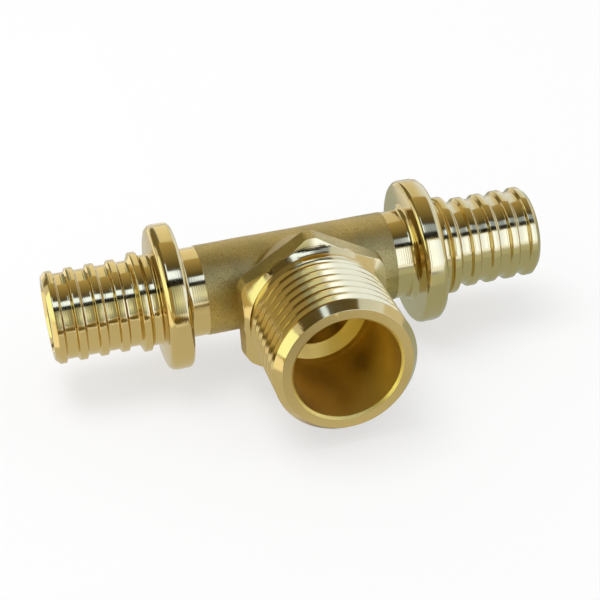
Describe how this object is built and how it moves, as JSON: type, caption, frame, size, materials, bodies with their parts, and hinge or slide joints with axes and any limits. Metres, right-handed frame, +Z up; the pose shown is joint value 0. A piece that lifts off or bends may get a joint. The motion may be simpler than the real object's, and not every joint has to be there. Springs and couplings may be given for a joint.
{
  "type": "threaded pex pipe tee",
  "caption": "Forged brass tee with barbed and flanged spigots for plastic pipe on the run and a male threaded branch with a hexagon.",
  "frame": {"origin": "the crossing of the run's centre line and the branch's centre line", "axes": "+X along the run, -Y along the threaded branch towards its mouth, +Z up with the tee lying flat"},
  "size_m": [0.076, 0.0401, 0.025],
  "materials": {
    "brass": "turned brass, with a sand-blasted forged skin on the barrel and hexagon"
  },
  "bodies": {
    "root": {"tee_body": "brass"}
  },
  "joints": []
}
